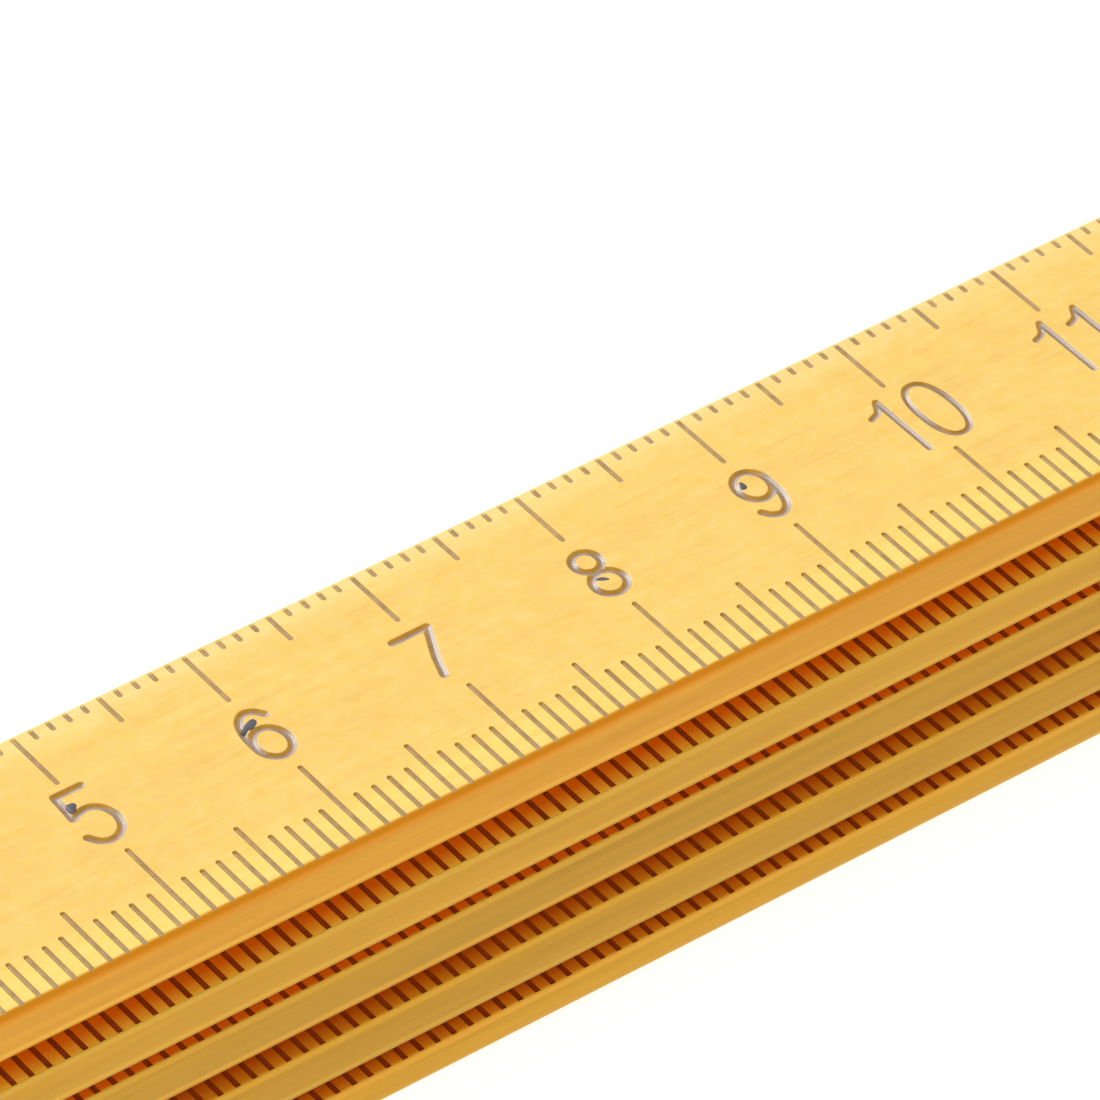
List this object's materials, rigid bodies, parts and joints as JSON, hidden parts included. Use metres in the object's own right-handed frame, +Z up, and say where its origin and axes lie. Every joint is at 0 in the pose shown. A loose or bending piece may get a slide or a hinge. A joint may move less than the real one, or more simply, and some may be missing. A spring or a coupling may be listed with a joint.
{
  "type": "folding rule",
  "caption": "Wooden zig-zag folding rule, folded into a stack of flat leaves that swing open on riveted joints to a straight metre.",
  "frame": {"origin": "middle of the folded stack's underside, on the lower face of the bottom leaf", "axes": "+X along the leaves, from the zero end of the top leaf towards its 20 cm joint; +Y across the leaves, away from the edge with the upright figures of the top leaf; +Z up through the stack, parallel to every joint's axis"},
  "size_m": [0.22, 0.0165, 0.018],
  "materials": {
    "lacquered_wood": "yellow clear lacquer over fine straight grain, edges worn darker",
    "joint_sheet": "brass-plated sheet, satin",
    "spring_steel": "bare spring steel",
    "brass_rivet": "rolled brass rivet, slightly tarnished",
    "cap_sheet": "folded brass sheet, satin with fine scratches"
  },
  "bodies": {
    "leaf_1_assembly": {"leaf_1": "lacquered_wood", "zero_end_cap": "cap_sheet", "zero_end_cap_rivet": "brass_rivet", "joint_1_upper_plate": "joint_sheet", "joint_1_upper_fixing_rivets": "brass_rivet"},
    "leaf_2_assembly": {"leaf_2": "lacquered_wood", "joint_1_lower_plate": "joint_sheet", "joint_1_detent_spring": "spring_steel", "joint_1_pivot_rivet": "brass_rivet", "joint_1_lower_fixing_rivets": "brass_rivet", "joint_2_upper_plate": "joint_sheet", "joint_2_upper_fixing_rivets": "brass_rivet"},
    "leaf_3_assembly": {"leaf_3": "lacquered_wood", "joint_2_lower_plate": "joint_sheet", "joint_2_detent_spring": "spring_steel", "joint_2_pivot_rivet": "brass_rivet", "joint_2_lower_fixing_rivets": "brass_rivet", "joint_3_upper_plate": "joint_sheet", "joint_3_upper_fixing_rivets": "brass_rivet"},
    "leaf_4_assembly": {"leaf_4": "lacquered_wood", "joint_3_lower_plate": "joint_sheet", "joint_3_detent_spring": "spring_steel", "joint_3_pivot_rivet": "brass_rivet", "joint_3_lower_fixing_rivets": "brass_rivet", "joint_4_upper_plate": "joint_sheet", "joint_4_upper_fixing_rivets": "brass_rivet"},
    "leaf_5_assembly": {"leaf_5": "lacquered_wood", "far_end_cap": "cap_sheet", "far_end_cap_rivet": "brass_rivet", "joint_4_lower_plate": "joint_sheet", "joint_4_detent_spring": "spring_steel", "joint_4_pivot_rivet": "brass_rivet", "joint_4_lower_fixing_rivets": "brass_rivet"}
  },
  "joints": [
    {"name": "joint_1_turn", "type": "hinge", "parent": "leaf_2_assembly", "child": "leaf_1_assembly", "pos_m": [0.0975, 0, 0.01465], "axis": [0, 0, 1], "range_deg": [-180, 180]},
    {"name": "joint_2_turn", "type": "hinge", "parent": "leaf_3_assembly", "child": "leaf_2_assembly", "pos_m": [-0.0975, 0, 0.0108], "axis": [0, 0, 1], "range_deg": [-180, 180]},
    {"name": "joint_3_turn", "type": "hinge", "parent": "leaf_4_assembly", "child": "leaf_3_assembly", "pos_m": [0.0975, 0, 0.00675], "axis": [0, 0, 1], "range_deg": [-180, 180]},
    {"name": "joint_4_turn", "type": "hinge", "parent": "leaf_5_assembly", "child": "leaf_4_assembly", "pos_m": [-0.0975, 0, 0.00275], "axis": [0, 0, 1], "range_deg": [-180, 180]}
  ]
}
